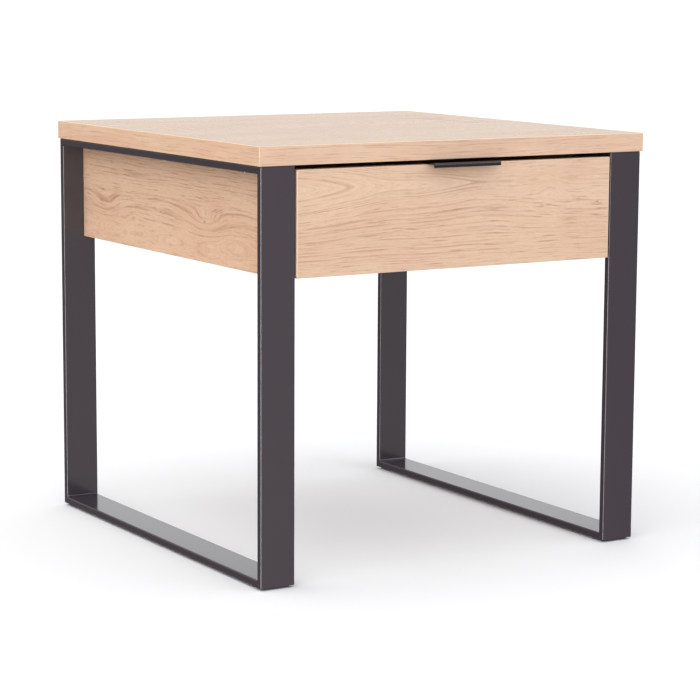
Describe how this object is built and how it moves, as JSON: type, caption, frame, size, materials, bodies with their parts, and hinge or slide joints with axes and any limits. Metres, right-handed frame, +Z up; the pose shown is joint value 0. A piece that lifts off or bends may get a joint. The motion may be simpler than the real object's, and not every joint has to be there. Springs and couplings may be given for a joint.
{
  "type": "side table with drawer",
  "caption": "Square oak-look side table on flat steel loop legs, with a full-extension drawer on ball runners and an edge pull.",
  "frame": {"origin": "on the floor, under the middle of the whole table's box, which includes the handle in front", "axes": "+X to the right as seen from the front, +Y to the back, +Z up; the drawer opens towards -Y"},
  "size_m": [0.6, 0.614, 0.568],
  "materials": {
    "oak_laminate": "pale oak decor on board, matt, fine straight grain with cathedral figure",
    "drawer_bottom_board": "pale laminated hardboard, matt",
    "graphite_powder_coat": "graphite powder coat, semi-gloss",
    "black_powder_coat": "black powder coat, satin",
    "zinc_steel": "bright zinc-plated steel",
    "birch_dowel": "plain birch",
    "glide_plastic": "black matt plastic"
  },
  "bodies": {
    "carcass": {"top_panel": "oak_laminate", "back_panel": "oak_laminate", "left_side_panel": "oak_laminate", "right_side_panel": "oak_laminate", "left_front_post": "graphite_powder_coat", "left_rear_post": "graphite_powder_coat", "left_top_rail": "graphite_powder_coat", "left_bottom_rail": "graphite_powder_coat", "right_front_post": "graphite_powder_coat", "right_rear_post": "graphite_powder_coat", "right_top_rail": "graphite_powder_coat", "right_bottom_rail": "graphite_powder_coat", "left_front_glide": "glide_plastic", "left_rear_glide": "glide_plastic", "right_front_glide": "glide_plastic", "right_rear_glide": "glide_plastic", "left_rail_screw_1": "zinc_steel", "left_rail_screw_2": "zinc_steel", "left_rail_screw_3": "zinc_steel", "right_rail_screw_1": "zinc_steel", "right_rail_screw_2": "zinc_steel", "right_rail_screw_3": "zinc_steel", "left_panel_screw_front": "zinc_steel", "left_panel_screw_rear": "zinc_steel", "right_panel_screw_front": "zinc_steel", "right_panel_screw_rear": "zinc_steel", "left_dowel_lower": "birch_dowel", "left_dowel_upper": "birch_dowel", "right_dowel_lower": "birch_dowel", "right_dowel_upper": "birch_dowel", "left_cabinet_runner": "zinc_steel", "right_cabinet_runner": "zinc_steel", "left_cabinet_screw_front": "zinc_steel", "left_cabinet_screw_rear": "zinc_steel", "right_cabinet_screw_front": "zinc_steel", "right_cabinet_screw_rear": "zinc_steel"},
    "drawer": {"drawer_front": "oak_laminate", "drawer_inner_front": "oak_laminate", "drawer_left_side": "oak_laminate", "drawer_right_side": "oak_laminate", "drawer_back": "oak_laminate", "drawer_bottom": "drawer_bottom_board", "front_screw_left": "zinc_steel", "front_screw_right": "zinc_steel", "handle": "black_powder_coat", "handle_screw_left": "black_powder_coat", "handle_screw_right": "black_powder_coat", "left_drawer_runner": "zinc_steel", "right_drawer_runner": "zinc_steel", "left_drawer_screw_front": "zinc_steel", "left_drawer_screw_rear": "zinc_steel", "right_drawer_screw_front": "zinc_steel", "right_drawer_screw_rear": "zinc_steel"},
    "left_middle_member": {"left_middle_runner": "zinc_steel"},
    "right_middle_member": {"right_middle_runner": "zinc_steel"},
    "left_outer_cage": {"left_outer_ball_cage": "zinc_steel"},
    "left_inner_cage": {"left_inner_ball_cage": "zinc_steel"},
    "right_outer_cage": {"right_outer_ball_cage": "zinc_steel"},
    "right_inner_cage": {"right_inner_ball_cage": "zinc_steel"}
  },
  "joints": [
    {"name": "drawer_slide", "type": "slide", "parent": "carcass", "child": "drawer", "axis": [0, -1, 0], "range_m": [0, 0.45]},
    {"name": "left_middle_slide", "type": "slide", "parent": "carcass", "child": "left_middle_member", "axis": [0, -1, 0], "range_m": [0, 0.225]},
    {"name": "right_middle_slide", "type": "slide", "parent": "carcass", "child": "right_middle_member", "axis": [0, -1, 0], "range_m": [0, 0.225]},
    {"name": "left_outer_cage_slide", "type": "slide", "parent": "carcass", "child": "left_outer_cage", "axis": [0, -1, 0], "range_m": [0, 0.1125]},
    {"name": "left_inner_cage_slide", "type": "slide", "parent": "carcass", "child": "left_inner_cage", "axis": [0, -1, 0], "range_m": [0, 0.3375]},
    {"name": "right_outer_cage_slide", "type": "slide", "parent": "carcass", "child": "right_outer_cage", "axis": [0, -1, 0], "range_m": [0, 0.1125]},
    {"name": "right_inner_cage_slide", "type": "slide", "parent": "carcass", "child": "right_inner_cage", "axis": [0, -1, 0], "range_m": [0, 0.3375]}
  ],
  "couplings": [
    {"joint": "left_middle_slide", "follows": "drawer_slide", "ratio": 0.5},
    {"joint": "right_middle_slide", "follows": "drawer_slide", "ratio": 0.5},
    {"joint": "left_outer_cage_slide", "follows": "drawer_slide", "ratio": 0.25},
    {"joint": "right_outer_cage_slide", "follows": "drawer_slide", "ratio": 0.25},
    {"joint": "left_inner_cage_slide", "follows": "drawer_slide", "ratio": 0.75},
    {"joint": "right_inner_cage_slide", "follows": "drawer_slide", "ratio": 0.75}
  ]
}
